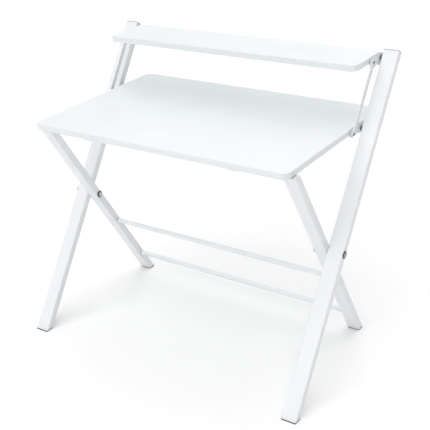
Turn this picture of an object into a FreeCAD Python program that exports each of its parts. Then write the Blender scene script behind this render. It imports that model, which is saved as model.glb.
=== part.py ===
import FreeCAD, Part
import os
import re

import Sketcher

# Folding desk with a raised shelf: two long legs and a short-leg frame cross in an X,
# the desktop and the shelf swing on the long legs and two links keep them parallel.
# The origin is on the floor under the middle of the desk; the sitter faces the -Y side.

doc = FreeCAD.newDocument("FoldingDesk")

# Driving sizes, in millimetres and degrees
SIZES = {
    # boards
    "board_width": 890,
    "board_thickness": 18,
    "edge_band_thickness": 1.2,
    "edge_band_round": 1,
    "desk_depth": 580,
    "desk_height": 725,
    "desk_corner_radius": 25,
    "desk_front_to_pivot": 432,
    "shelf_depth": 176,
    "shelf_rise": 177,
    "shelf_corner_radius": 20,
    "shelf_front_to_pivot": 162,
    "side_gap": 11,
    # leg tubes
    "long_tube_width": 48,
    "short_tube_width": 40,
    "tube_depth": 25,
    "tube_wall": 1.5,
    "tube_corner_radius": 3,
    "cross_height": 404,
    "long_leg_lean": 34.8,
    "short_leg_lean": 30.8,
    "leg_end_above_pivot": 20,
    "short_leg_top_gap": 3,
    "leg_spacer_thickness": 1.5,
    "leg_spacer_diameter": 24,
    # end caps, feet and soles
    "top_cap_thickness": 2.5,
    "foot_cap_height": 8,
    "sole_height": 3,
    "plug_length": 24,
    "top_plug_length": 11,
    "plug_clearance": 0.1,
    # stretchers of the short-leg frame
    "rod_diameter": 16,
    "rod_wall": 1.5,
    "upper_rod_height": 271,
    "lower_rod_height": 89,
    "rail_drop": 14,
    # rest saddles under the desktop
    "saddle_spacing": 520,
    "saddle_width": 36,
    "saddle_front_wall": 7,
    "saddle_rear_reach": 22,
    "saddle_lip": 4,
    "saddle_flare": 36,
    "saddle_screw_inset": 8,
    # crossing bolts
    "cross_bolt_diameter": 8,
    "cross_head_diameter": 19,
    "cross_head_height": 4.5,
    "cross_socket_size": 3.4,
    "cross_socket_depth": 2.6,
    "nut_flange_diameter": 19,
    "nut_flange_thickness": 2,
    "nut_dome_diameter": 14,
    "nut_dome_height": 7,
    "bolt_end_length": 5,
    "sleeve_wall": 2,
    # board brackets and their pivots
    "pivot_rise": 2,
    "plate_standoff": 2,
    "plate_thickness": 2,
    "plate_top_gap": 2,
    "plate_end": 13,
    "desk_plate_below_pivot": 11,
    "desk_plate_arch": 3,
    "shelf_plate_below_pivot": 20,
    "shelf_plate_arch": 6,
    "plate_arch_width": 28,
    "plate_heel_radius": 9,
    "plate_toe_radius": 11,
    "plate_top_radius": 7,
    "flange_width": 34,
    "flange_length": 52,
    "stud_diameter": 8,
    "stud_collar_diameter": 14,
    "stud_foot_thickness": 3,
    "stud_cap_diameter": 12,
    "stud_cap_thickness": 1.4,
    # links
    "link_offset": 58,
    "link_width": 14,
    "link_end_radius": 6.5,
    "link_thickness": 4,
    "link_plate_gap": 0.4,
    "rivet_diameter": 6,
    "rivet_head_diameter": 10,
    "rivet_head_height": 1.5,
    # wood screws
    "screw_diameter": 3.5,
    "screw_length": 12,
    "screw_head_diameter": 7,
    "screw_head_height": 2,
    # fits
    "running_clearance": 0.05,
    "part_clearance": 0.3,
    "link_eye_clearance": 0.3,
    "cut_overrun": 60,
}

# Places that follow from the driving sizes
PLACES = {
    "board_edge_x": "board_width / 2",
    "long_inner_x": "board_edge_x + side_gap",
    "long_middle_x": "long_inner_x + long_tube_width / 2",
    "long_outer_x": "long_inner_x + long_tube_width",
    "short_outer_x": "long_inner_x - leg_spacer_thickness",
    "short_middle_x": "short_outer_x - short_tube_width / 2",
    "short_inner_x": "short_outer_x - short_tube_width",
    "front_reach": "cross_height * tan(long_leg_lean) + tube_depth / 2 / cos(long_leg_lean)",
    "long_leg_above_cross": "(shelf_pivot_z - cross_height) / cos(long_leg_lean) + leg_end_above_pivot",
    "rear_reach": "(long_leg_above_cross + top_cap_thickness) * sin(long_leg_lean)"
                  " + tube_depth / 2 * cos(long_leg_lean)",
    "cross_y": "(front_reach - rear_reach) / 2",
    "foot_height": "sole_height + foot_cap_height",
    "desk_under_z": "desk_height - board_thickness",
    "desk_pivot_z": "desk_under_z + pivot_rise",
    "desk_pivot_y": "cross_y + (desk_pivot_z - cross_height) * tan(long_leg_lean)",
    "desk_middle_y": "desk_pivot_y - desk_front_to_pivot + desk_depth / 2",
    "shelf_height": "desk_height + shelf_rise",
    "shelf_under_z": "shelf_height - board_thickness",
    "shelf_pivot_z": "shelf_under_z + pivot_rise",
    "shelf_pivot_y": "cross_y + (shelf_pivot_z - cross_height) * tan(long_leg_lean)",
    "shelf_middle_y": "shelf_pivot_y - shelf_front_to_pivot + shelf_depth / 2",
    "link_length": "(shelf_pivot_z - desk_pivot_z) / cos(long_leg_lean)",
    "short_top_z": "desk_under_z - short_leg_top_gap",
    "rail_z": "desk_under_z - rail_drop",
    "rail_y": "cross_y - (rail_z - cross_height) * tan(short_leg_lean)",
    "upper_rod_y": "cross_y + (cross_height - upper_rod_height) * tan(short_leg_lean)",
    "lower_rod_y": "cross_y + (cross_height - lower_rod_height) * tan(short_leg_lean)",
    "long_below_cross": "cross_height / cos(long_leg_lean) + cut_overrun",
    "short_below_cross": "cross_height / cos(short_leg_lean) + cut_overrun",
    "short_above_cross": "(short_top_z - cross_height) / cos(short_leg_lean) + cut_overrun",
    "plate_inner_x": "board_edge_x + plate_standoff",
    "plate_outer_x": "plate_inner_x + plate_thickness",
    "link_inner_x": "plate_outer_x + link_plate_gap",
    "link_outer_x": "link_inner_x + link_thickness",
    "slab_reach": "front_reach + rear_reach + 2 * cut_overrun",
}


def formula(text):
    """Put each named size's sheet in front of its name."""
    def with_sheet(match):
        name = match.group(0)
        if name in SIZES:
            return "Sizes." + name
        if name in PLACES:
            return "Places." + name
        return name
    return re.sub(r"[a-z_]+", with_sheet, text)


def fill_sheet(name, rows):
    sheet = doc.addObject("Spreadsheet::Sheet", name)
    for number, (alias, content) in enumerate(rows.items(), start=1):
        sheet.set(f"A{number}", alias)
        sheet.setAlias(f"B{number}", alias)
        sheet.set(f"B{number}", content)
    doc.recompute()
    return sheet


fill_sheet("Sizes", {alias: str(value) for alias, value in SIZES.items()})
places = fill_sheet("Places", {alias: "=" + formula(text) for alias, text in PLACES.items()})


def value(text):
    return float(places.evalExpression(formula(text)))


def bind(item, **expressions):
    for prop, text in expressions.items():
        item.setExpression(prop, formula(text))


def put(item, x="0", y="0", z="0", about_x=None):
    """Place an item by expressions, turned about X where an angle is given."""
    if about_x is not None:
        item.Placement = FreeCAD.Placement(FreeCAD.Vector(), FreeCAD.Rotation(FreeCAD.Vector(1, 0, 0), 1))
        item.setExpression("Placement.Rotation.Angle", formula(about_x))
    for axis, text in (("x", x), ("y", y), ("z", z)):
        item.setExpression("Placement.Base." + axis, formula(text))


# Shapes that several pieces share

def block(name, length, width, height, x, y, z, about_x=None):
    """Box given by its sizes and its lowest corner."""
    item = doc.addObject("Part::Box", name)
    bind(item, Length=length, Width=width, Height=height)
    put(item, x, y, z, about_x)
    return item


def along_x(item, x, y, z, towards=1):
    """Turn a round piece so that its axis runs along X from the given point."""
    turn = FreeCAD.Rotation(FreeCAD.Vector(0, 1, 0), 90 * towards)
    item.Placement = FreeCAD.Placement(FreeCAD.Vector(), turn)
    for axis, text in (("x", x), ("y", y), ("z", z)):
        item.setExpression("Placement.Base." + axis, formula(text))
    return item


def cross_pin(name, diameter, length, x, y, z):
    """Cylinder along +X from its inboard end."""
    item = doc.addObject("Part::Cylinder", name)
    bind(item, Radius=f"({diameter}) / 2", Height=length)
    return along_x(item, x, y, z)


def dome(name, diameter, height):
    """Spherical cap standing on its flat face."""
    item = doc.addObject("Part::Sphere", name)
    ball = f"((({diameter}) / 2) ^ 2 + ({height}) ^ 2) / (2 * ({height}))"
    bind(item, Radius=ball, Angle1=f"asin(1 - ({height}) / ({ball}))")
    return item, f"(({height}) - {ball})"


def join(kind, name, base, tool):
    item = doc.addObject("Part::" + kind, name)
    item.Base = base
    item.Tool = tool
    return item


def together(name, *pieces):
    item = doc.addObject("Part::MultiFuse", name)
    item.Shapes = list(pieces)
    return item


def group(name, *pieces):
    """Several separate solids that share one name."""
    item = doc.addObject("Part::Compound", name)
    item.Links = list(pieces)
    return item


def mirror(item, name):
    """The same piece on the other side of the desk."""
    twin = doc.addObject("Part::Mirroring", name)
    twin.Source = item
    twin.Normal = FreeCAD.Vector(1, 0, 0)
    return twin


def new_sketch(body, plane="XY_Plane"):
    sketch = body.newObject("Sketcher::SketchObject", body.Name + "Sketch")
    support = next(plane_ for plane_ in body.Origin.OriginFeatures if plane_.Role == plane)
    sketch.AttachmentSupport = (support, [""])
    sketch.MapMode = "FlatFace"
    return sketch


def named(sketch, name, text, *constraint):
    """Dimension in a sketch, driven by the sheets."""
    index = sketch.addConstraint(Sketcher.Constraint(*constraint, value(text)))
    sketch.renameConstraint(index, name)
    sketch.setExpression("Constraints." + name, formula(text))


def rounded_rectangle(sketch, mark, width, depth, radius):
    """Rectangle with round corners, centred on the sketch's origin."""
    across = value(width) / 2
    along = value(depth) / 2
    corner = value(radius)
    inner_x = across - corner
    inner_y = along - corner
    quarter = 1.5707963267948966
    start = sketch.GeometryCount
    sides = [((-inner_x, -along), (inner_x, -along)), ((across, -inner_y), (across, inner_y)),
             ((inner_x, along), (-inner_x, along)), ((-across, inner_y), (-across, -inner_y))]
    centres = [(inner_x, -inner_y), (inner_x, inner_y), (-inner_x, inner_y), (-inner_x, -inner_y)]
    for number in range(4):
        low, high = (FreeCAD.Vector(x, y, 0) for x, y in sides[number])
        sketch.addGeometry(Part.LineSegment(low, high))
        circle = Part.Circle(FreeCAD.Vector(*centres[number], 0), FreeCAD.Vector(0, 0, 1), corner)
        turn = (number - 1) * quarter
        sketch.addGeometry(Part.ArcOfCircle(circle, turn, turn + quarter))
    for number in range(8):
        here = start + number
        after = start + (number + 1) % 8
        sketch.addConstraint(Sketcher.Constraint("Tangent", here, 2, after, 1))
    for number, kind in ((0, "Horizontal"), (2, "Vertical"), (4, "Horizontal"), (6, "Vertical")):
        sketch.addConstraint(Sketcher.Constraint(kind, start + number))
    for number in (1, 3, 5):
        sketch.addConstraint(Sketcher.Constraint("Equal", start + number, start + number + 2))
    sketch.addConstraint(Sketcher.Constraint("Symmetric", start + 1, 3, start + 5, 3, -1, 1))
    named(sketch, mark + "Radius", radius, "Radius", start + 1)
    named(sketch, mark + "Width", width, "DistanceX", start + 6, 1, start + 2, 1)
    named(sketch, mark + "Depth", depth, "DistanceY", start, 1, start + 4, 1)


def pad(body, sketch, length, reverse=False):
    feature = body.newObject("PartDesign::Pad", body.Name + "Pad")
    feature.Profile = sketch
    feature.Reversed = reverse
    bind(feature, Length=length)
    sketch.Visibility = False
    return feature


def plate(name, outlines, length, plane="XY_Plane"):
    """Prism of one rounded rectangle, or of a ring between two, raised from a plane."""
    body = doc.addObject("PartDesign::Body", name)
    sketch = new_sketch(body, plane)
    for mark, outline in zip(("Outer", "Inner"), outlines):
        rounded_rectangle(sketch, mark, *outline)
    pad(body, sketch, length)
    return body


# Sections of the leg tubes, and of the plugs that go into their ends
def tube_section(width, inset):
    """Outline of a leg tube, or of what fits inside it, drawn in by an inset."""
    return (f"{width} - 2 * ({inset})", f"tube_depth - 2 * ({inset})", f"tube_corner_radius - ({inset})")


def tube_sections(width):
    """Outside, bore and plug of a leg tube."""
    return [tube_section(width, inset) for inset in ("0", "tube_wall", "tube_wall + plug_clearance")]


LONG_OUTLINE, LONG_BORE, LONG_CORE = tube_sections("long_tube_width")
SHORT_OUTLINE, SHORT_BORE, SHORT_CORE = tube_sections("short_tube_width")


def leg_bar(name, outlines, middle_x, lean, below, above):
    """Prism along a leg's axis, from below the floor through the crossing to its upper end."""
    bar = plate(name, outlines, f"{below} + {above}")
    put(bar, middle_x, f"cross_y - ({below}) * sin({lean})", f"cross_height - ({below}) * cos({lean})",
        about_x=f"-({lean})")
    return bar


def floor_slab(name, low, high):
    """Level slab between two heights, wide enough to hold any leg."""
    return block(name, "2 * long_outer_x", "slab_reach", f"({high}) - ({low})",
                 "-long_outer_x", "-slab_reach / 2", low)


def level_cap(name, bar, plug, flange_low, flange_high, plug_low, plug_high):
    """Moulded cap cut level: a flange as wide as the tube and a plug inside it."""
    flange = join("Common", name + "Flange", bar, floor_slab(name + "FlangeSlab", flange_low, flange_high))
    core = join("Common", name + "Plug", plug, floor_slab(name + "PlugSlab", plug_low, plug_high))
    return join("Fuse", name, flange, core)


nodes = []


def keep(label, item):
    item.Label = label
    nodes.append(item)
    return item


def keep_pair(label, item):
    """Keep a right-hand piece and its left-hand twin."""
    keep("right_" + label, item)
    keep("left_" + label, mirror(item, item.Name + "Left"))


# Long legs, from the front feet up to behind the shelf
LONG_LEG = ("long_middle_x", "long_leg_lean", "long_below_cross", "long_leg_above_cross")
long_tube = leg_bar("LongTube", (LONG_OUTLINE, LONG_BORE), *LONG_LEG)
long_bar = leg_bar("LongBar", (LONG_OUTLINE,), *LONG_LEG)
long_plug = leg_bar("LongPlug", (LONG_CORE,), *LONG_LEG)
long_blank = join("Common", "LongBlank", long_tube,
                  floor_slab("LongSlab", "foot_height", "cross_height + long_leg_above_cross"))
cross_hole = cross_pin("LongCrossHole", "cross_bolt_diameter + 2 * running_clearance",
                       "long_tube_width + 2 * cut_overrun", "long_inner_x - cut_overrun",
                       "cross_y", "cross_height")
stud_holes = [cross_pin(board.title() + "StudHole", "stud_diameter + 2 * running_clearance",
                        "cut_overrun + long_tube_width / 2", "long_inner_x - cut_overrun",
                        board + "_pivot_y", board + "_pivot_z") for board in ("desk", "shelf")]
long_holes = together("LongHoles", cross_hole, *stud_holes)
keep_pair("long_leg", join("Cut", "LongLeg", long_blank, long_holes))
keep_pair("long_leg_foot", level_cap("LongFoot", long_bar, long_plug, "sole_height", "foot_height",
                                     "foot_height", "foot_height + plug_length"))
keep_pair("long_leg_sole", join("Common", "LongSole", long_bar,
                                floor_slab("LongSoleSlab", "0", "sole_height")))

# Caps on the tops of the long legs, square to the tube
top_cap = doc.addObject("PartDesign::Body", "LongTopCap")
cap_sketch = new_sketch(top_cap)
rounded_rectangle(cap_sketch, "Outer", *LONG_OUTLINE)
pad(top_cap, cap_sketch, "top_cap_thickness")
plug_sketch = new_sketch(top_cap)
rounded_rectangle(plug_sketch, "Outer", *LONG_CORE)
pad(top_cap, plug_sketch, "top_plug_length", reverse=True)
put(top_cap, "long_middle_x", "cross_y + long_leg_above_cross * sin(long_leg_lean)",
    "cross_height + long_leg_above_cross * cos(long_leg_lean)", about_x="-long_leg_lean")
keep_pair("long_leg_cap", top_cap)

# Short legs, from the rear feet up to just under the desktop
SHORT_LEG = ("short_middle_x", "-short_leg_lean", "short_below_cross", "short_above_cross")
short_tube = leg_bar("ShortTube", (SHORT_OUTLINE, SHORT_BORE), *SHORT_LEG)
short_bar = leg_bar("ShortBar", (SHORT_OUTLINE,), *SHORT_LEG)
short_plug = leg_bar("ShortPlug", (SHORT_CORE,), *SHORT_LEG)
short_blank = join("Common", "ShortBlank", short_tube,
                   floor_slab("ShortSlab", "foot_height", "short_top_z - top_cap_thickness"))
sleeve_hole = cross_pin("ShortCrossHole", "cross_bolt_diameter + 2 * (running_clearance + sleeve_wall)",
                        "short_tube_width + 2 * cut_overrun", "short_inner_x - cut_overrun",
                        "cross_y", "cross_height")
keep_pair("short_leg", join("Cut", "ShortLeg", short_blank, sleeve_hole))
keep_pair("short_leg_foot", level_cap("ShortFoot", short_bar, short_plug, "sole_height", "foot_height",
                                      "foot_height", "foot_height + plug_length"))
keep_pair("short_leg_sole", join("Common", "ShortSole", short_bar,
                                 floor_slab("ShortSoleSlab", "0", "sole_height")))
keep_pair("short_leg_cap", level_cap("ShortTopCap", short_bar, short_plug,
                                     "short_top_z - top_cap_thickness", "short_top_z",
                                     "short_top_z - top_cap_thickness - top_plug_length",
                                     "short_top_z - top_cap_thickness"))

# Round stretchers welded between the short legs: two low ones behind the feet of the sitter,
# and the rail under the desktop that its saddles rest on
for label, rod_y, rod_z in (("upper_rod", "upper_rod_y", "upper_rod_height"),
                            ("lower_rod", "lower_rod_y", "lower_rod_height"),
                            ("front_rail", "rail_y", "rail_z")):
    name = label.title().replace("_", "")
    span = ("2 * short_inner_x", "-short_inner_x", rod_y, rod_z)
    rod = cross_pin(name + "Outside", "rod_diameter", *span)
    bore = cross_pin(name + "Bore", "rod_diameter - 2 * rod_wall", *span)
    keep(label, join("Cut", name, rod, bore))

# Crossing bolts: domed head outside the long leg, sleeve in the short leg, cap nut inside
bolt_end = "short_inner_x - part_clearance - nut_flange_thickness - bolt_end_length"
shank = cross_pin("CrossShank", "cross_bolt_diameter", f"long_outer_x - ({bolt_end})", bolt_end,
                  "cross_y", "cross_height")
head, head_sink = dome("CrossHead", "cross_head_diameter", "cross_head_height")
along_x(head, f"long_outer_x + {head_sink}", "cross_y", "cross_height")
socket = doc.addObject("Part::Prism", "CrossSocket")
bind(socket, Circumradius="cross_socket_size", Height="cross_socket_depth + cut_overrun")
along_x(socket, "long_outer_x + cross_head_height - cross_socket_depth", "cross_y", "cross_height")
bolt = join("Cut", "CrossBolt", join("Fuse", "CrossBoltBlank", shank, head), socket)
keep("cross_bolts", group("CrossBolts", bolt, mirror(bolt, "CrossBoltLeft")))

sleeve_span = ("short_tube_width", "short_inner_x", "cross_y", "cross_height")
sleeve_outside = "cross_bolt_diameter + 2 * (running_clearance + sleeve_wall)"
sleeve = join("Cut", "CrossSleeve", cross_pin("SleeveOutside", sleeve_outside, *sleeve_span),
              cross_pin("SleeveBore", "cross_bolt_diameter + 2 * running_clearance", *sleeve_span))
keep("cross_sleeves", group("CrossSleeves", sleeve, mirror(sleeve, "CrossSleeveLeft")))

spacer_span = ("leg_spacer_thickness", "short_outer_x", "cross_y", "cross_height")
spacer = join("Cut", "CrossSpacer", cross_pin("SpacerOutside", "leg_spacer_diameter", *spacer_span),
              cross_pin("SpacerBore", "cross_bolt_diameter + 2 * running_clearance", *spacer_span))
keep("cross_spacers", group("CrossSpacers", spacer, mirror(spacer, "CrossSpacerLeft")))

nut_face = "short_inner_x - part_clearance"
nut_flange = cross_pin("NutFlange", "nut_flange_diameter", "nut_flange_thickness",
                       f"{nut_face} - nut_flange_thickness", "cross_y", "cross_height")
nut_dome, nut_sink = dome("NutDome", "nut_dome_diameter", "nut_dome_height")
along_x(nut_dome, f"{nut_face} - nut_flange_thickness - {nut_sink}", "cross_y", "cross_height", towards=-1)
nut_bore = cross_pin("NutBore", "cross_bolt_diameter + 2 * running_clearance", "cut_overrun", bolt_end,
                     "cross_y", "cross_height")
nut = join("Cut", "CrossNut", join("Fuse", "NutBlank", nut_flange, nut_dome), nut_bore)
keep("cross_nuts", group("CrossNuts", nut, mirror(nut, "CrossNutLeft")))


# Boards, with their brackets, screws, pivot studs and link rivets

def screw(name, x, y, z):
    """Wood screw driven upwards, its domed head against the face at z."""
    shank = doc.addObject("Part::Cylinder", name + "Shank")
    bind(shank, Radius="screw_diameter / 2", Height="screw_length")
    put(shank, x, y, z)
    head, sink = dome(name + "Head", "screw_head_diameter", "screw_head_height")
    head.Placement = FreeCAD.Placement(FreeCAD.Vector(), FreeCAD.Rotation(FreeCAD.Vector(1, 0, 0), 180))
    for axis, text in (("x", x), ("y", y), ("z", f"({z}) - {sink}")):
        head.setExpression("Placement.Base." + axis, formula(text))
    return join("Fuse", name, shank, head)


def screw_hole(name, x, y, low, high):
    hole = doc.addObject("Part::Cylinder", name)
    bind(hole, Radius="screw_diameter / 2 + running_clearance", Height=f"({high}) - ({low})")
    put(hole, x, y, low)
    return hole


def corner_edges(shape, y, z):
    """Names of the edges along X that stand at one corner of a plate's outline."""
    names = []
    for number, edge in enumerate(shape.Edges, start=1):
        box = edge.BoundBox
        corner = FreeCAD.Vector(box.Center.x, y, z)
        runs_along_x = box.YLength < box.XLength and box.ZLength < box.XLength
        if runs_along_x and box.Center.isEqual(corner, value("running_clearance")):
            names.append(f"Edge{number}")
    return names


def bracket_screw_places(pivot_y):
    """Where the screws go through a bracket's flange, front one first."""
    return (f"{pivot_y} - link_offset", f"{pivot_y} - link_offset / 2")


def bracket(kind, pivot_y, pivot_z):
    """Bent steel bracket: a plate beside the board's edge for the pivots and a flange under the board."""
    name = kind.title() + "Bracket"
    body = doc.addObject("PartDesign::Body", name)
    below = kind + "_plate_below_pivot"
    arch = kind + "_plate_arch"
    toe = "link_offset + plate_end"
    top = "board_thickness - pivot_rise - plate_top_gap"
    corners = ((f"-({toe})", f"-{below}"), ("plate_end", f"-{below}"), ("plate_end", top), (f"-({toe})", top))
    points = [FreeCAD.Vector(value(y), value(z), 0) for y, z in corners]
    sketch = new_sketch(body, "YZ_Plane")
    for number in range(4):
        sketch.addGeometry(Part.LineSegment(points[number], points[(number + 1) % 4]))
    for number in range(4):
        sketch.addConstraint(Sketcher.Constraint("Coincident", number, 2, (number + 1) % 4, 1))
        sketch.addConstraint(Sketcher.Constraint(("Horizontal", "Vertical")[number % 2], number))
    named(sketch, "Toe", toe, "DistanceX", 0, 1, -1, 1)
    named(sketch, "Heel", "plate_end", "DistanceX", -1, 1, 0, 2)
    named(sketch, "Below", below, "DistanceY", 0, 1, -1, 1)
    named(sketch, "Above", top, "DistanceY", -1, 1, 2, 1)
    side = pad(body, sketch, "plate_thickness")
    radii = ("plate_toe_radius", "plate_heel_radius", "plate_top_radius", "plate_top_radius")
    for radius, (y, z) in zip(radii, corners):
        doc.recompute()
        rounding = body.newObject("PartDesign::Fillet", name + "Round")
        rounding.Base = (side, corner_edges(side.Shape, value(y), value(z)))
        bind(rounding, Radius=radius)
        body.Tip = rounding
        side = rounding
    put(body, "plate_inner_x", pivot_y, pivot_z)
    flange = block(name + "Flange", "flange_width + plate_standoff + plate_thickness", "flange_length",
                   "plate_thickness", "board_edge_x - flange_width", f"{pivot_y} - ({toe})",
                   f"{pivot_z} - pivot_rise - plate_thickness")
    bent = join("Fuse", name + "Bent", body, flange)
    through = ("2 * cut_overrun", "board_edge_x - cut_overrun")
    stud = cross_pin(name + "StudHole", "stud_diameter + 2 * running_clearance", *through, pivot_y, pivot_z)
    rivet = cross_pin(name + "RivetHole", "rivet_diameter + 2 * running_clearance", *through,
                      f"{pivot_y} - link_offset", pivot_z)
    relief = cross_pin(name + "Relief", "rivet_head_diameter + 2 * part_clearance",
                       "rivet_head_height + part_clearance",
                       "plate_inner_x - rivet_head_height - part_clearance",
                       f"{pivot_y} - link_offset", pivot_z)
    arch_radius = f"((plate_arch_width / 2) ^ 2 + {arch} ^ 2) / (2 * {arch})"
    hollow = cross_pin(name + "Arch", f"2 * {arch_radius}", "plate_thickness", "plate_inner_x",
                       f"{pivot_y} - link_offset / 2", f"{pivot_z} - {below} + {arch} - {arch_radius}")
    screw_holes = [screw_hole(f"{name}ScrewHole{number}", "board_edge_x - flange_width / 2", y,
                              f"{pivot_z} - cut_overrun", f"{pivot_z}")
                   for number, y in enumerate(bracket_screw_places(pivot_y))]
    holes = together(name + "Holes", stud, rivet, relief, hollow, *screw_holes)
    return join("Cut", name + "Drilled", bent, holes)


def board(kind, pivot_y, pivot_z, extra_holes=()):
    """Laminated board with its edge band, its two brackets and what is screwed and riveted to them."""
    title = kind.title()
    depth = kind + "_depth"
    radius = kind + "_corner_radius"
    middle_y = kind + "_middle_y"
    under_z = kind + "_under_z"
    outline = ("board_width", depth, radius)
    core_outline = ("board_width - 2 * edge_band_thickness", depth + " - 2 * edge_band_thickness",
                    radius + " - edge_band_thickness")
    core = plate(title + "Core", (core_outline,), "board_thickness")
    put(core, "0", middle_y, under_z)

    band = plate(title + "Band", (outline, core_outline), "board_thickness")
    doc.recompute()
    ring = band.Tip
    half_width = value("board_width") / 2
    rims = [f"Edge{number}" for number, edge in enumerate(ring.Shape.Edges, start=1)
            if abs(edge.BoundBox.XMax - half_width) < value("running_clearance")
            and edge.BoundBox.XLength < value("running_clearance")
            and edge.BoundBox.ZLength < value("running_clearance")]
    easing = band.newObject("PartDesign::Fillet", title + "BandEasing")
    easing.Base = (ring, rims)
    bind(easing, Radius="edge_band_round")
    band.Tip = easing
    put(band, "0", middle_y, under_z)

    flange_z = f"{under_z} - plate_thickness"
    screw_x = "board_edge_x - flange_width / 2"
    screws = []
    holes = list(extra_holes)
    for number, y in enumerate(bracket_screw_places(pivot_y)):
        screws.append(screw(f"{title}Screw{number}", screw_x, y, flange_z))
        holes.append(screw_hole(f"{title}Pilot{number}", screw_x, y, f"{under_z} - cut_overrun",
                                f"{flange_z} + screw_length + running_clearance"))
    right_holes = together(title + "Pilots", *holes)
    drilled = join("Cut", title + "CoreRight", core, right_holes)
    keep(kind + "_board", join("Cut", title + "Board", drilled, mirror(right_holes, title + "PilotsLeft")))
    keep(kind + "_edge_band", band)
    keep_pair(kind + "_bracket", bracket(kind, pivot_y, pivot_z))
    pairs = [mirror(item, item.Name + "Left") for item in screws]
    keep(kind + "_bracket_screws", group(title + "Screws", *screws, *pairs))

    # stud: foot inside the long leg, collar in the side gap, cap inside the bracket
    foot = cross_pin(title + "StudFoot", "stud_collar_diameter", "stud_foot_thickness",
                     "long_inner_x + tube_wall", pivot_y, pivot_z)
    collar = cross_pin(title + "StudCollar", "stud_collar_diameter",
                       "long_inner_x - plate_outer_x - part_clearance", "plate_outer_x + part_clearance",
                       pivot_y, pivot_z)
    cap_x = "plate_inner_x - part_clearance - stud_cap_thickness"
    stem = cross_pin(title + "StudStem", "stud_diameter", f"long_inner_x + tube_wall - ({cap_x})", cap_x,
                     pivot_y, pivot_z)
    cap = cross_pin(title + "StudCap", "stud_cap_diameter", "stud_cap_thickness", cap_x, pivot_y, pivot_z)
    stud = together(title + "Stud", foot, collar, stem, cap)
    keep(kind + "_pivot_studs", group(title + "Studs", stud, mirror(stud, title + "StudLeft")))

    # rivet that carries one end of the link
    rivet_y = f"{pivot_y} - link_offset"
    tail_x = "plate_inner_x - rivet_head_height"
    tail = cross_pin(title + "RivetTail", "rivet_head_diameter", "rivet_head_height", tail_x,
                     rivet_y, pivot_z)
    stem = cross_pin(title + "RivetStem", "rivet_diameter",
                     f"link_outer_x + part_clearance - ({tail_x})", tail_x, rivet_y, pivot_z)
    head, sink = dome(title + "RivetHead", "rivet_head_diameter", "rivet_head_height")
    along_x(head, f"link_outer_x + part_clearance + {sink}", rivet_y, pivot_z)
    rivet = together(title + "Rivet", tail, stem, head)
    keep(kind + "_link_rivets", group(title + "Rivets", rivet, mirror(rivet, title + "RivetLeft")))


# Saddles under the desktop: a front wall keeps the rail from sliding forwards,
# and the rear wall flares so that the rail drops out when the desktop is lifted
saddle_x = "saddle_spacing / 2 - saddle_width / 2"
groove_radius = "(rod_diameter / 2 + part_clearance)"
saddle_front = f"{groove_radius} + saddle_front_wall"
saddle_block = block("SaddleBlock", "saddle_width", f"{saddle_front} + saddle_rear_reach",
                     "rail_drop + saddle_lip", saddle_x, f"rail_y - ({saddle_front})", "rail_z - saddle_lip")
groove = cross_pin("SaddleGroove", f"2 * {groove_radius}", "saddle_width + 2 * cut_overrun",
                   f"{saddle_x} - cut_overrun", "rail_y", "rail_z")
mouth_cuts = []
for number, swing in enumerate(("0", "saddle_flare")):
    mouth = block(f"SaddleMouth{number}", "saddle_width + 2 * cut_overrun", f"2 * {groove_radius}",
                  "cut_overrun", f"{saddle_x} - cut_overrun",
                  f"rail_y - {groove_radius} * cos({swing}) + cut_overrun * sin({swing})",
                  f"rail_z - {groove_radius} * sin({swing}) - cut_overrun * cos({swing})", about_x=swing)
    mouth_cuts.append(mouth)
saddle_screw_y = "rail_y + saddle_rear_reach - saddle_screw_inset"
saddle_screw_x = "saddle_spacing / 2"
counterbore = doc.addObject("Part::Cylinder", "SaddleCounterbore")
bind(counterbore, Radius="screw_head_diameter / 2 + part_clearance", Height="rail_drop + saddle_lip")
put(counterbore, saddle_screw_x, saddle_screw_y, "desk_under_z - screw_length / 2 - rail_drop - saddle_lip")
saddle_hole = screw_hole("SaddleScrewHole", saddle_screw_x, saddle_screw_y, "rail_z - cut_overrun",
                         "desk_under_z + cut_overrun")
saddle = join("Cut", "Saddle", saddle_block,
              together("SaddleCuts", groove, *mouth_cuts, counterbore, saddle_hole))

desk_pilot = screw_hole("SaddlePilot", saddle_screw_x, saddle_screw_y, "desk_under_z - cut_overrun",
                        "desk_under_z + screw_length / 2 + running_clearance")
board("desk", "desk_pivot_y", "desk_pivot_z", extra_holes=(desk_pilot,))
keep_pair("rest_saddle", saddle)
saddle_screw = screw("SaddleScrew", saddle_screw_x, saddle_screw_y, "desk_under_z - screw_length / 2")
keep("saddle_screws", group("SaddleScrews", saddle_screw, mirror(saddle_screw, "SaddleScrewLeft")))
board("shelf", "shelf_pivot_y", "shelf_pivot_z")

# Links beside the boards, parallel to the long legs
link_bar = plate("LinkBar", (("link_width", "link_length + link_width", "link_end_radius"),),
                 "link_thickness", "YZ_Plane")
put(link_bar, "link_inner_x", "(desk_pivot_y + shelf_pivot_y) / 2 - link_offset",
    "(desk_pivot_z + shelf_pivot_z) / 2", about_x="-long_leg_lean")
eye_fits = (("desk", "running_clearance"), ("shelf", "link_eye_clearance"))
eyes = [cross_pin(f"LinkEye{number}", f"rivet_diameter + 2 * {slack}", "2 * cut_overrun",
                  "link_inner_x - cut_overrun", f"{end}_pivot_y - link_offset", f"{end}_pivot_z")
        for number, (end, slack) in enumerate(eye_fits)]
keep_pair("link", join("Cut", "Link", link_bar, together("LinkEyes", *eyes)))

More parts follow.
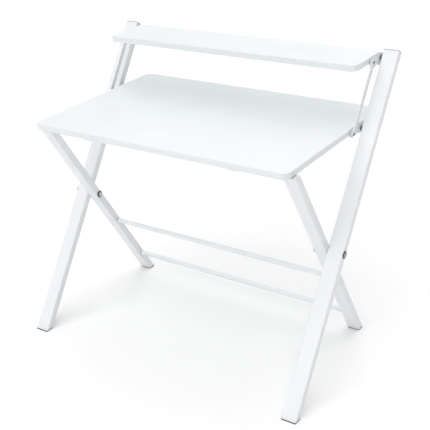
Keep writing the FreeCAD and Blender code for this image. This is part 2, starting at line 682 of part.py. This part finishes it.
# Rebuild, test and write every piece
doc.recompute()
failed = [item.Name for item in doc.Objects if "Invalid" in item.State or "Error" in item.State]
if failed:
    raise RuntimeError("failed objects: " + ", ".join(failed))
os.makedirs("parts", exist_ok=True)
for item in nodes:
    shape = item.Shape
    if shape.isNull() or not shape.isValid():
        raise RuntimeError("bad shape: " + item.Label)
    shape.exportStep(f"parts/{item.Label}.step")
    print(item.Label, len(shape.Solids), round(shape.Volume / 1000, 2))
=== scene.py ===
import math

import bmesh
import bpy
from mathutils import Matrix, Vector


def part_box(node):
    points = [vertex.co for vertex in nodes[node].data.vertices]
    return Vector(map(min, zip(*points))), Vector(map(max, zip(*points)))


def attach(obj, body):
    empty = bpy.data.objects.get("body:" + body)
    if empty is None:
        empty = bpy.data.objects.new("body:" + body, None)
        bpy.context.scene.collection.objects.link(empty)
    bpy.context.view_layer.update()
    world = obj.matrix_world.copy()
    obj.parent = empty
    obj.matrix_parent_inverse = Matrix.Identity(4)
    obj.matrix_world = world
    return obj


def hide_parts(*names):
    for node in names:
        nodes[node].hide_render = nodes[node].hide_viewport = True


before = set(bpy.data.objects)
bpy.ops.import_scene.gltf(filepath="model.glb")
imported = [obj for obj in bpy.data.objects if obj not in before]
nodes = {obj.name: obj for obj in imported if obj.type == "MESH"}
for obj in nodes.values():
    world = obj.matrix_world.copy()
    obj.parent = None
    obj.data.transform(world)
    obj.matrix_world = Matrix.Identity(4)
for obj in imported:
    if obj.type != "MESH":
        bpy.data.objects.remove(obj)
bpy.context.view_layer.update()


# Long legs
# Two long rectangular tubes of thin rolled steel, welded along one seam, that lean back from the front
# feet up to the shelf. They are cut, drilled and powder coated white before they are bolted up.

sides = ("left", "right")
mm = 0.001


def linear(code):
    shares = [int(code[place:place + 2], 16) / 255 for place in (0, 2, 4)]
    return tuple(s / 12.92 if s <= 0.04045 else ((s + 0.055) / 1.055) ** 2.4 for s in shares) + (1.0,)


def per_metre(size_mm):
    return 1 / (size_mm * mm)


def new_material(name):
    material = bpy.data.materials.new(name)
    material.use_nodes = True
    material.node_tree.nodes.clear()
    return material


def add_node(material, kind, settings={}, values={}, links={}):
    node = material.node_tree.nodes.new(kind)
    for name, setting in settings.items():
        setattr(node, name, setting)
    for socket, amount in values.items():
        node.inputs[socket].default_value = amount
    for socket, source in links.items():
        material.node_tree.links.new(source, node.inputs[socket])
    return node


def dress(material, *names):
    for name in names:
        mesh = nodes[name].data
        mesh.materials.clear()
        mesh.materials.append(material)


def white_powder_coat(name, bright, dull, gloss_low, gloss_high):
    # Polyester powder baked on steel: a satin white skin that breaks highlights into a faint orange peel.
    # The peel is about 0.8 mm wide on the real coat and is drawn at 2.5 mm, so that it shows.
    cloud_mm = 90
    peel_mm = 2.5
    peel_depth_mm = 0.05
    coat = new_material(name)
    place = add_node(coat, "ShaderNodeTexCoord").outputs["Object"]
    cloud = add_node(coat, "ShaderNodeTexNoise", values={"Scale": per_metre(cloud_mm), "Detail": 3.0},
                     links={"Vector": place})
    peel = add_node(coat, "ShaderNodeTexNoise", values={"Scale": per_metre(peel_mm), "Detail": 2.0},
                    links={"Vector": place})
    tone = add_node(coat, "ShaderNodeMix", {"data_type": "RGBA"},
                    {6: linear(bright), 7: linear(dull)}, {0: cloud.outputs["Fac"]})
    gloss = add_node(coat, "ShaderNodeMapRange", values={"To Min": gloss_low, "To Max": gloss_high},
                     links={"Value": peel.outputs["Fac"]})
    relief = add_node(coat, "ShaderNodeBump", values={"Strength": 0.25, "Distance": peel_depth_mm * mm},
                      links={"Height": peel.outputs["Fac"]})
    skin = add_node(coat, "ShaderNodeBsdfPrincipled", values={"IOR": 1.5},
                    links={"Base Color": tone.outputs[2], "Roughness": gloss.outputs[0],
                           "Normal": relief.outputs["Normal"]})
    add_node(coat, "ShaderNodeOutputMaterial", links={"Surface": skin.outputs[0]})
    return coat


tube_coat = white_powder_coat("white_powder_coat_on_tube", "ebecee", "e5e6e9", 0.36, 0.48)
dress(tube_coat, *[side + "_long_leg" for side in sides])


# Long leg caps
# Thin moulded plugs pressed into the cut tops of the long legs, with a rim that covers the tube wall.
# They are polypropylene, coloured grey through.

def moulded_plastic(name, bright, dull, roughness):
    # Injection moulded plastic: even colour, with the fine spark-eroded texture of the mould.
    # The texture is about 0.3 mm wide and is drawn at 1.2 mm, so that it shows.
    spark_mm = 1.2
    spark_depth_mm = 0.04
    flow_mm = 14
    plastic = new_material(name)
    place = add_node(plastic, "ShaderNodeTexCoord").outputs["Object"]
    spark = add_node(plastic, "ShaderNodeTexVoronoi", values={"Scale": per_metre(spark_mm)},
                     links={"Vector": place})
    flow = add_node(plastic, "ShaderNodeTexNoise", values={"Scale": per_metre(flow_mm), "Detail": 4.0},
                    links={"Vector": place})
    tone = add_node(plastic, "ShaderNodeMix", {"data_type": "RGBA"},
                    {6: linear(bright), 7: linear(dull)}, {0: flow.outputs["Fac"]})
    relief = add_node(plastic, "ShaderNodeBump", values={"Strength": 0.3, "Distance": spark_depth_mm * mm},
                      links={"Height": spark.outputs["Distance"]})
    body = add_node(plastic, "ShaderNodeBsdfPrincipled", values={"IOR": 1.49, "Roughness": roughness},
                    links={"Base Color": tone.outputs[2], "Normal": relief.outputs["Normal"]})
    add_node(plastic, "ShaderNodeOutputMaterial", links={"Surface": body.outputs[0]})
    return plastic


cap_plastic = moulded_plastic("grey_moulded_polypropylene", "a9acae", "9da0a3", 0.5)
dress(cap_plastic, *[side + "_long_leg_cap" for side in sides])


# Feet
# Moulded shoes pushed into the cut bottoms of all four legs, level with the floor although the legs lean.
# They are white nylon, a little warmer and duller than the coat of the tubes.

foot_nylon = moulded_plastic("white_moulded_nylon", "e6e8e8", "dddfe0", 0.46)
dress(foot_nylon, *[f"{side}_{leg}_leg_foot" for side in sides for leg in ("long", "short")])


# Soles
# Thin pads glued into the feet, so that the desk neither slides nor marks the floor.
# They are moulded from dark thermoplastic rubber.

def moulded_rubber(name, bright, dull):
    # Soft rubber: dark, matt and slightly dusty, with a fine grain.
    # The grain is about 0.4 mm wide and is drawn at 1.5 mm, so that it shows.
    grain_mm = 1.5
    grain_depth_mm = 0.08
    rubber = new_material(name)
    place = add_node(rubber, "ShaderNodeTexCoord").outputs["Object"]
    grain = add_node(rubber, "ShaderNodeTexNoise", values={"Scale": per_metre(grain_mm), "Detail": 3.0},
                     links={"Vector": place})
    tone = add_node(rubber, "ShaderNodeMix", {"data_type": "RGBA"},
                    {6: linear(dull), 7: linear(bright)}, {0: grain.outputs["Fac"]})
    relief = add_node(rubber, "ShaderNodeBump", values={"Strength": 0.4, "Distance": grain_depth_mm * mm},
                      links={"Height": grain.outputs["Fac"]})
    body = add_node(rubber, "ShaderNodeBsdfPrincipled", values={"IOR": 1.52, "Roughness": 0.85},
                    links={"Base Color": tone.outputs[2], "Normal": relief.outputs["Normal"]})
    add_node(rubber, "ShaderNodeOutputMaterial", links={"Surface": body.outputs[0]})
    return rubber


sole_rubber = moulded_rubber("dark_thermoplastic_rubber", "555658", "434446")
dress(sole_rubber, *[f"{side}_{leg}_leg_sole" for side in sides for leg in ("long", "short")])


# Rear frame
# Two shorter tubes that lean forward, joined by two rods and the rail under the desk into one stiff frame.
# They are powder coated white like the long legs, and white nylon plugs close their tops.

dress(tube_coat, *[side + "_short_leg" for side in sides])
dress(foot_nylon, *[side + "_short_leg_cap" for side in sides])


# Rods and rail
# Round steel bars between the short legs: two behind the sitter's feet and the rail that carries the desk.
# Their ends are rounded over and turned down to necks, which are pressed and welded into the leg walls.

bars = ("upper_rod", "lower_rod", "front_rail")
end_round_mm = 1.2
end_round_steps = 5
neck_length_mm = 1.1
neck_depth_mm = 2.0
rod_facets = 48
crease = math.radians(40)
merge_mm = 0.001


def add_piece(name, mesh, material, body):
    mesh.materials.append(material)
    piece = bpy.data.objects.new(name, mesh)
    bpy.context.scene.collection.objects.link(piece)
    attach(piece, body)
    return piece


def turned_form(profile_mm, facets):
    form = bmesh.new()
    points = [form.verts.new((radius * mm, 0.0, height * mm)) for radius, height in profile_mm]
    lines = [form.edges.new(pair) for pair in zip(points, points[1:])]
    bmesh.ops.spin(form, geom=points + lines, cent=(0, 0, 0), axis=(0, 0, 1), angle=2 * math.pi,
                   steps=facets, use_merge=True)
    bmesh.ops.remove_doubles(form, verts=form.verts, dist=merge_mm * mm)
    bmesh.ops.recalc_face_normals(form, faces=form.faces)
    return form


def turned_mesh(name, profile_mm, facets, place):
    form = turned_form(profile_mm, facets)
    mesh = bpy.data.meshes.new(name)
    form.to_mesh(mesh)
    form.free()
    mesh.transform(place)
    mesh.shade_smooth()
    mesh.set_sharp_from_angle(angle=crease)
    return mesh


def rod_profile(half_length_mm, radius_mm):
    shoulder = half_length_mm - neck_length_mm
    neck = radius_mm - neck_depth_mm
    angles = [math.pi / 2 * step / end_round_steps for step in range(end_round_steps + 1)]
    end = [(radius_mm - end_round_mm * (1 - math.cos(a)), shoulder - end_round_mm * (1 - math.sin(a)))
           for a in angles]
    end += [(neck, shoulder), (neck, half_length_mm), (0.0, half_length_mm)]
    return [(radius, -height) for radius, height in reversed(end)] + end


rod_coat = white_powder_coat("white_powder_coat_on_rod", "eaedef", "e4e7ea", 0.22, 0.32)
for bar in bars:
    low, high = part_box(bar)
    profile = rod_profile((high.x - low.x) / 2 / mm, (high.z - low.z) / 2 / mm)
    lengthwise = Matrix.Translation((low + high) / 2) @ Matrix.Rotation(math.pi / 2, 4, "Y")
    mesh = turned_mesh("necked_" + bar, profile, rod_facets, lengthwise)
    piece = add_piece("necked_" + bar, mesh, rod_coat, "rear_frame")
    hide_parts(bar)


# Rod rings
# Thin rings slipped over the necks of the rods and the rail, which close the joints against the legs.
# They are painted shade, a dark grey for the shadow in the gap where each bar meets its leg, and sit a little
# below the coat of the bars.

ring_sink_mm = 0.3
ring_edge_mm = 0.25
# Painted shade and reflection: one dark grey for the shadowed joints of the bars and the dark rims of the
# bolt heads.
painted_shade_plastic = moulded_plastic("painted_shade_polypropylene", "505254", "424446", 0.45)


def ring_profile(radius_mm):
    outer = radius_mm - ring_sink_mm
    inner = radius_mm - neck_depth_mm
    flat = outer - ring_edge_mm
    far = neck_length_mm - ring_edge_mm
    return [(inner, 0.0), (flat, 0.0), (outer, ring_edge_mm), (outer, far), (flat, neck_length_mm),
            (inner, neck_length_mm), (inner, 0.0)]


for bar in bars:
    low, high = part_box(bar)
    middle = (low + high) / 2
    profile = ring_profile((high.z - low.z) / 2 / mm)
    for side, seat, inward in (("left", low.x, 1), ("right", high.x, -1)):
        place = Matrix.Translation((seat, middle.y, middle.z))
        place = place @ Matrix.Rotation(inward * math.pi / 2, 4, "Y")
        mesh = turned_mesh(f"{bar}_{side}_ring", profile, rod_facets, place)
        # Each ring is painted shade, dark where the joint of bar and leg lies in shadow.
        add_piece(f"{bar}_{side}_ring", mesh, painted_shade_plastic, "rear_frame")


# Cross bolts
# A bolt with a domed socket head, a sleeve and a cap nut join the two legs of each side where they cross.
# They are zinc plated steel, turned and cold headed. A white nylon washer keeps the tubes apart.

def zinc_plated_steel(name, bright, dull, roughness_low, roughness_high):
    # Bright zinc over machined steel: a cool grey metal with fine turning marks and a soft blotchy haze.
    # The marks are about 0.1 mm apart and are drawn at 0.6 mm, so that they show.
    haze_mm = 4
    mark_mm = 0.6
    mark_depth_mm = 0.02
    steel = new_material(name)
    place = add_node(steel, "ShaderNodeTexCoord").outputs["Object"]
    haze = add_node(steel, "ShaderNodeTexNoise", values={"Scale": per_metre(haze_mm), "Detail": 4.0},
                    links={"Vector": place})
    marks = add_node(steel, "ShaderNodeTexNoise", values={"Scale": per_metre(mark_mm), "Detail": 1.0},
                     links={"Vector": place})
    tone = add_node(steel, "ShaderNodeMix", {"data_type": "RGBA"},
                    {6: linear(bright), 7: linear(dull)}, {0: haze.outputs["Fac"]})
    gloss = add_node(steel, "ShaderNodeMapRange",
                     values={"To Min": roughness_low, "To Max": roughness_high},
                     links={"Value": haze.outputs["Fac"]})
    relief = add_node(steel, "ShaderNodeBump", values={"Strength": 0.2, "Distance": mark_depth_mm * mm},
                      links={"Height": marks.outputs["Fac"]})
    metal = add_node(steel, "ShaderNodeBsdfPrincipled", values={"Metallic": 1.0},
                     links={"Base Color": tone.outputs[2], "Roughness": gloss.outputs[0],
                            "Normal": relief.outputs["Normal"]})
    add_node(steel, "ShaderNodeOutputMaterial", links={"Surface": metal.outputs[0]})
    return steel


plated_steel = zinc_plated_steel("zinc_plated_steel", "d4d7da", "b6b9bc", 0.26, 0.4)
dress(plated_steel, "cross_bolts", "cross_nuts", "cross_sleeves")
dress(foot_nylon, "cross_spacers")


# Bolt collars
# Rings over the rims of the bolt heads and of the cap nuts, so that only their middles show.
# They are a painted reflection in the same dark grey as the rod rings, for the dark that the rims of the
# domed metal heads mirror.

collar_outer_mm = 11.5
collar_inner_mm = 7.4
collar_height_mm = 3.5
collar_rim_mm = 1.0
head_room_mm = 9.65
head_depth_mm = 2.15
collar_arc_steps = 6
collar_facets = 48
bolt_head_mm = 4.5


def collar_profile():
    rise = collar_height_mm - collar_rim_mm
    reach = collar_outer_mm - collar_inner_mm
    angles = [math.pi / 2 * step / collar_arc_steps for step in range(collar_arc_steps + 1)]
    back = [(collar_inner_mm + reach * math.cos(a), collar_rim_mm + rise * math.sin(a)) for a in angles]
    inside = [(collar_inner_mm, head_depth_mm), (head_room_mm, head_depth_mm), (head_room_mm, 0.0)]
    return [(head_room_mm, 0.0), (collar_outer_mm, 0.0)] + back + inside


def bolt_collar(name, seat, outward):
    low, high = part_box("cross_bolts")
    middle = Vector((seat, (low.y + high.y) / 2, (low.z + high.z) / 2))
    place = Matrix.Translation(middle) @ Matrix.Rotation(outward * math.pi / 2, 4, "Y")
    mesh = turned_mesh(name, collar_profile(), collar_facets, place)
    # The collar is a painted reflection, the dark rim of a domed metal head.
    return add_piece(name, mesh, painted_shade_plastic, "long_legs")


bolt_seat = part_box("cross_bolts")[1].x - bolt_head_mm * mm
nut_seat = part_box("cross_nuts")[1].x
for side, end in (("left", -1), ("right", 1)):
    bolt_collar(side + "_bolt_collar", end * bolt_seat, end)
    bolt_collar(side + "_nut_collar", end * nut_seat, -end)


# Desk board and shelf board
# Two particle boards faced with white melamine paper, cut with round corners.
# The faces are pressed against a finely pebbled plate, so that they are matt and hardly show marks.

def melamine_face(name, bright, dull):
    # Melamine paper: a cool white with a faint cloud, and a fine pebble that spreads every highlight.
    # The pebble is about 0.5 mm wide and is drawn at 2 mm, so that it shows.
    cloud_mm = 140
    pebble_mm = 2
    pebble_depth_mm = 0.04
    paper = new_material(name)
    place = add_node(paper, "ShaderNodeTexCoord").outputs["Object"]
    cloud = add_node(paper, "ShaderNodeTexNoise", values={"Scale": per_metre(cloud_mm), "Detail": 4.0},
                     links={"Vector": place})
    pebble = add_node(paper, "ShaderNodeTexVoronoi", {"feature": "SMOOTH_F1"},
                      {"Scale": per_metre(pebble_mm)}, {"Vector": place})
    tone = add_node(paper, "ShaderNodeMix", {"data_type": "RGBA"},
                    {6: linear(bright), 7: linear(dull)}, {0: cloud.outputs["Fac"]})
    gloss = add_node(paper, "ShaderNodeMapRange", values={"To Min": 0.44, "To Max": 0.58},
                     links={"Value": pebble.outputs["Distance"]})
    relief = add_node(paper, "ShaderNodeBump", values={"Strength": 0.2, "Distance": pebble_depth_mm * mm},
                      links={"Height": pebble.outputs["Distance"]})
    face = add_node(paper, "ShaderNodeBsdfPrincipled", values={"IOR": 1.5},
                    links={"Base Color": tone.outputs[2], "Roughness": gloss.outputs[0],
                           "Normal": relief.outputs["Normal"]})
    add_node(paper, "ShaderNodeOutputMaterial", links={"Surface": face.outputs[0]})
    return paper


board_paper = melamine_face("white_melamine_paper", "e9edee", "e3e7e9")
dress(board_paper, "desk_board", "shelf_board")


# Edge bands
# Strips of white plastic glued round the edges of both boards and trimmed flush with the faces.
# The strip is extruded, which leaves very fine lines along it.

def extruded_band(name, bright, dull):
    # Extruded PVC strip: a little greyer and glossier than the faces, with fine lines along its length.
    # The lines are about 0.3 mm apart and are drawn at 1.5 mm, so that they show.
    line_mm = 1.5
    line_depth_mm = 0.03
    along_share = 0.02
    strip = new_material(name)
    place = add_node(strip, "ShaderNodeTexCoord").outputs["Object"]
    drawn = add_node(strip, "ShaderNodeMapping", values={"Scale": (along_share, along_share, 1.0)},
                     links={"Vector": place})
    lines = add_node(strip, "ShaderNodeTexNoise", values={"Scale": per_metre(line_mm), "Detail": 2.0},
                     links={"Vector": drawn.outputs["Vector"]})
    tone = add_node(strip, "ShaderNodeMix", {"data_type": "RGBA"},
                    {6: linear(bright), 7: linear(dull)}, {0: lines.outputs["Fac"]})
    relief = add_node(strip, "ShaderNodeBump", values={"Strength": 0.15, "Distance": line_depth_mm * mm},
                      links={"Height": lines.outputs["Fac"]})
    band = add_node(strip, "ShaderNodeBsdfPrincipled", values={"IOR": 1.53, "Roughness": 0.4},
                    links={"Base Color": tone.outputs[2], "Normal": relief.outputs["Normal"]})
    add_node(strip, "ShaderNodeOutputMaterial", links={"Surface": band.outputs[0]})
    return strip


edge_strip = extruded_band("white_extruded_pvc", "e6e9eb", "dee2e5")
dress(edge_strip, "desk_edge_band", "shelf_edge_band")


# Board brackets
# Pressed angles of sheet steel, screwed under each end of both boards, that turn on the leg studs.
# They are powder coated white and keep the round edges of the press.

bracket_coat = white_powder_coat("white_powder_coat_on_sheet", "e5e6e8", "dedfe2", 0.4, 0.52)
dress(bracket_coat, *[f"{side}_{board}_bracket" for side in sides for board in ("desk", "shelf")])


# Bracket and saddle screws
# Short wood screws with low round heads and cross recesses hold the brackets and saddles under the boards.
# They are cold headed and zinc plated steel.

screw_head_mm = 2.0
head_profile_mm = ((0.0, -screw_head_mm), (1.3, -1.9), (2.4, -1.5), (3.2, -0.8), (3.5, 0.0))
shank_profile_mm = ((1.7, 0.0), (1.7, 9.0), (0.0, 12.0))
recess_reach_mm = 2.0
recess_width_mm = 0.95
recess_depth_mm = 1.2
recess_taper_share = 0.55
cutter_overrun_mm = 1.0
turn_between_screws = 0.7
screw_facets = 32
screw_bodies = {"desk_bracket_screws": "desktop", "shelf_bracket_screws": "shelf", "saddle_screws": "desktop"}


def cross_cutter():
    reach = recess_reach_mm * mm
    half = recess_width_mm / 2 * mm
    outline = []
    for turn in range(4):
        quarter = Matrix.Rotation(turn * math.pi / 2, 2)
        outline += [quarter @ Vector(corner) for corner in ((reach, -half), (reach, half), (half, half))]
    form = bmesh.new()
    mouth = (-screw_head_mm - cutter_overrun_mm, 1.0)
    floor_of_recess = (recess_depth_mm - screw_head_mm, recess_taper_share)
    rings = [[form.verts.new((point.x * scale, point.y * scale, height * mm)) for point in outline]
             for height, scale in (mouth, floor_of_recess)]
    for place in range(len(outline)):
        after = (place + 1) % len(outline)
        form.faces.new((rings[0][place], rings[0][after], rings[1][after], rings[1][place]))
    for ring in rings:
        form.faces.new(ring)
    bmesh.ops.recalc_face_normals(form, faces=form.faces)
    return form


def object_of(name, form):
    mesh = bpy.data.meshes.new(name)
    form.to_mesh(mesh)
    form.free()
    made = bpy.data.objects.new(name, mesh)
    bpy.context.scene.collection.objects.link(made)
    return made


def recessed_screw():
    blank = object_of("screw_blank", turned_form(head_profile_mm + shank_profile_mm, screw_facets))
    cutter = object_of("screw_cutter", cross_cutter())
    recess = blank.modifiers.new("recess", "BOOLEAN")
    recess.operation = "DIFFERENCE"
    recess.solver = "EXACT"
    recess.object = cutter
    seen = blank.evaluated_get(bpy.context.evaluated_depsgraph_get())
    mesh = bpy.data.meshes.new_from_object(seen)
    bpy.data.objects.remove(blank)
    bpy.data.objects.remove(cutter)
    return mesh


def solid_boxes(node):
    form = bmesh.new()
    form.from_mesh(nodes[node].data)
    bmesh.ops.remove_doubles(form, verts=form.verts, dist=merge_mm * mm)
    waiting = set(form.verts)
    boxes = []
    while waiting:
        solid = {waiting.pop()}
        edge_of_solid = list(solid)
        while edge_of_solid:
            for line in edge_of_solid.pop().link_edges:
                for point in line.verts:
                    if point in waiting:
                        waiting.remove(point)
                        solid.add(point)
                        edge_of_solid.append(point)
        low = Vector([min(point.co[axis] for point in solid) for axis in range(3)])
        high = Vector([max(point.co[axis] for point in solid) for axis in range(3)])
        boxes.append((low, high))
    form.free()
    return sorted(boxes, key=lambda box: tuple(box[0]))


one_screw = recessed_screw()
for node, body in screw_bodies.items():
    form = bmesh.new()
    for number, (low, high) in enumerate(solid_boxes(node)):
        driven = one_screw.copy()
        place = Vector(((low.x + high.x) / 2, (low.y + high.y) / 2, low.z + screw_head_mm * mm))
        driven.transform(Matrix.Translation(place) @ Matrix.Rotation(number * turn_between_screws, 4, "Z"))
        form.from_mesh(driven)
        bpy.data.meshes.remove(driven)
    mesh = bpy.data.meshes.new("recessed_" + node)
    form.to_mesh(mesh)
    form.free()
    piece = add_piece("recessed_" + node, mesh, plated_steel, body)
    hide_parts(node)


# Rest saddles
# Two moulded blocks under the desk board that drop over the front rail when the desk is open.
# They are white nylon, as the feet are.

dress(foot_nylon, *[side + "_rest_saddle" for side in sides])


# Links
# Two flat bars that tie the desk brackets to the shelf brackets, so that both boards fold together.
# They are punched from strip steel and powder coated white.

dress(bracket_coat, *[side + "_link" for side in sides])


# Pivot studs and rivets
# Turned studs carry the boards on the long legs, and rivets hold the ends of the links.
# They are dark zinc plated steel, peened over at the end.

dark_steel = zinc_plated_steel("dark_zinc_plated_steel", "7d8083", "5c5f62", 0.34, 0.5)
dress(dark_steel, "desk_pivot_studs", "shelf_pivot_studs", "desk_link_rivets", "shelf_link_rivets")


# Studio
# A plain pale floor under a white dome, which only the camera sees, so that no horizon shows.
# Wide soft boxes light the desk: four high ones round it, of which those in front and behind are the
# strongest, two weak low ones and one above.

floor_half = 30.0
floor_corners = [(x * floor_half, y * floor_half, 0.0) for x, y in ((-1, -1), (1, -1), (1, 1), (-1, 1))]
floor_mesh = bpy.data.meshes.new("floor")
floor_mesh.from_pydata(floor_corners, [], [(0, 1, 2, 3)])
floor = bpy.data.objects.new("floor", floor_mesh)
bpy.context.scene.collection.objects.link(floor)

# Matt paper: an even pale white that takes soft shadows and shows no gloss.
paper_roll = new_material("matt_white_paper")
paper_face = add_node(paper_roll, "ShaderNodeBsdfPrincipled",
                      values={"Base Color": linear("f4f4f4"), "Roughness": 0.9, "IOR": 1.3})
add_node(paper_roll, "ShaderNodeOutputMaterial", links={"Surface": paper_face.outputs[0]})
floor_mesh.materials.append(paper_roll)

dome_radius = 29.0
dome_panels = 48
dome_rings = 12
dome_points = []
dome_faces = []
for ring in range(dome_rings + 1):
    lift = math.pi / 2 * ring / dome_rings
    for panel in range(dome_panels):
        angle = 2 * math.pi * panel / dome_panels
        reach = dome_radius * math.cos(lift)
        dome_points.append((reach * math.cos(angle), reach * math.sin(angle), dome_radius * math.sin(lift)))
for ring in range(dome_rings):
    for panel in range(dome_panels):
        here = ring * dome_panels + panel
        after = ring * dome_panels + (panel + 1) % dome_panels
        dome_faces.append((here, here + dome_panels, after + dome_panels, after))
dome_mesh = bpy.data.meshes.new("backdrop")
dome_mesh.from_pydata(dome_points, [], dome_faces)
backdrop = bpy.data.objects.new("backdrop", dome_mesh)
bpy.context.scene.collection.objects.link(backdrop)
backdrop.visible_diffuse = False
backdrop.visible_glossy = False
backdrop.visible_shadow = False

# Paper lit from behind: plain white without shading.
lit_paper = new_material("lit_white_paper")
lit_face = add_node(lit_paper, "ShaderNodeEmission", values={"Color": linear("ffffff"), "Strength": 1.0})
add_node(lit_paper, "ShaderNodeOutputMaterial", links={"Surface": lit_face.outputs[0]})
dome_mesh.materials.append(lit_paper)

high_rise = 1.0
low_rise = 0.35
wide = math.radians(70)
narrow = math.radians(45)
soft_boxes = {
    "box_left_high": ((-1, 0, high_rise), wide, 0.77),
    "box_right_high": ((1, 0, high_rise), wide, 0.37),
    "box_front_high": ((0, -1, high_rise), wide, 1.58),
    "box_rear_high": ((0, 1, high_rise), wide, 1.43),
    "box_right_low": ((1, 0, low_rise), wide, 0.28),
    "box_front_low": ((0, -1, low_rise), wide, 0.39),
    "box_above": ((0, 0, high_rise), narrow, 0.55),
}
for name, (towards_box, width, strength) in soft_boxes.items():
    light = bpy.data.lights.new(name, "SUN")
    light.angle = width
    light.energy = strength
    lamp = bpy.data.objects.new(name, light)
    lamp.rotation_euler = Vector(towards_box).to_track_quat("Z", "Y").to_euler()
    bpy.context.scene.collection.objects.link(lamp)

wall_glow = 0.02
world = bpy.data.worlds.new("studio_walls")
world.use_nodes = True
walls = world.node_tree.nodes["Background"]
walls.inputs["Color"].default_value = linear("ffffff")
walls.inputs["Strength"].default_value = wall_glow
bpy.context.scene.world = world
bpy.context.scene.view_settings.view_transform = "Standard"


# Camera
# The photograph's point of view: right of the desk, above it, looking down across the front corner.
# The lens and the place were found from the edges of the boards, legs and rods in the photograph.

sensor_mm = 36.0
picture_px = 430
focal_px = 855.3
middle_px = (213.0, 236.0)
camera_place = (1.4389, -1.9937, 1.5855)
turn = math.radians(35.31)
tilt = math.radians(27.1)
roll = math.radians(-3.38)

forward = Vector((-math.sin(turn) * math.cos(tilt), math.cos(turn) * math.cos(tilt), -math.sin(tilt)))
level = Vector((math.cos(turn), math.sin(turn), 0.0))
upright = level.cross(forward)
across = math.cos(roll) * level + math.sin(roll) * upright
up = math.cos(roll) * upright - math.sin(roll) * level

view = bpy.data.cameras.new("camera")
view.sensor_width = sensor_mm
view.lens = focal_px / picture_px * sensor_mm
view.shift_x = (picture_px / 2 - middle_px[0]) / picture_px
view.shift_y = (middle_px[1] - picture_px / 2) / picture_px
camera = bpy.data.objects.new("camera", view)
facing = Matrix((across, up, -forward)).transposed().to_4x4()
camera.matrix_world = Matrix.Translation(camera_place) @ facing
bpy.context.scene.collection.objects.link(camera)
bpy.context.scene.camera = camera
